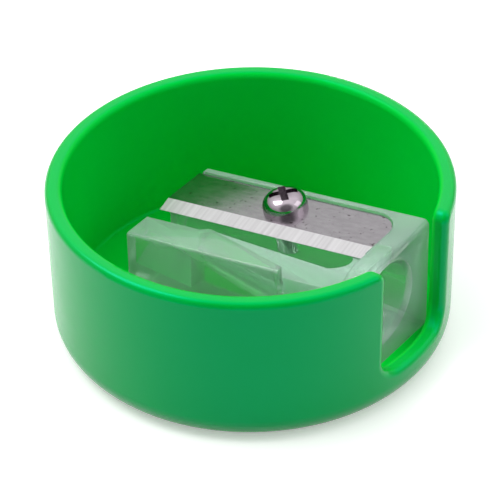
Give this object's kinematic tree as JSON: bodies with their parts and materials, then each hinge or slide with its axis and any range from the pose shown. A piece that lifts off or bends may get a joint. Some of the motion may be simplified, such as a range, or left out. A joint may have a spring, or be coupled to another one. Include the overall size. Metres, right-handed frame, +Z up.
{
  "type": "pencil sharpener",
  "caption": "Round open desk pencil sharpener: a plastic bowl with a clear wedge block, steel blade and screw inside.",
  "frame": {"origin": "middle of the bowl's underside, on the surface that it stands on", "axes": "+X along the pencil's axis, out of the mouth and through the slot; +Z up"},
  "size_m": [0.0378, 0.038, 0.016],
  "materials": {
    "bowl_plastic": "glossy translucent green, moulded",
    "clear_plastic": "clear polystyrene, moulded",
    "blade_steel": "fine ground, with a brighter ground edge",
    "screw_plating": "bright nickel plating"
  },
  "bodies": {
    "root": {"bowl": "bowl_plastic", "sharpener_block": "clear_plastic"},
    "blade": {"blade": "blade_steel"},
    "screw": {"screw": "screw_plating"}
  },
  "joints": [
    {"name": "blade_lift", "type": "slide", "parent": "root", "child": "blade", "axis": [-0.1771, 0, 0.9842], "range_m": [0, 0.0035]},
    {"name": "screw_turn", "type": "hinge", "parent": "blade", "child": "screw", "pos_m": [0.00151, 0.00343, 0.01122], "axis": [-0.1771, 0, 0.9842], "range_deg": [0, 2800]}
  ],
  "couplings": [
    {"joint": "screw_turn", "follows": "blade_lift", "rad_per_m": 13963}
  ]
}
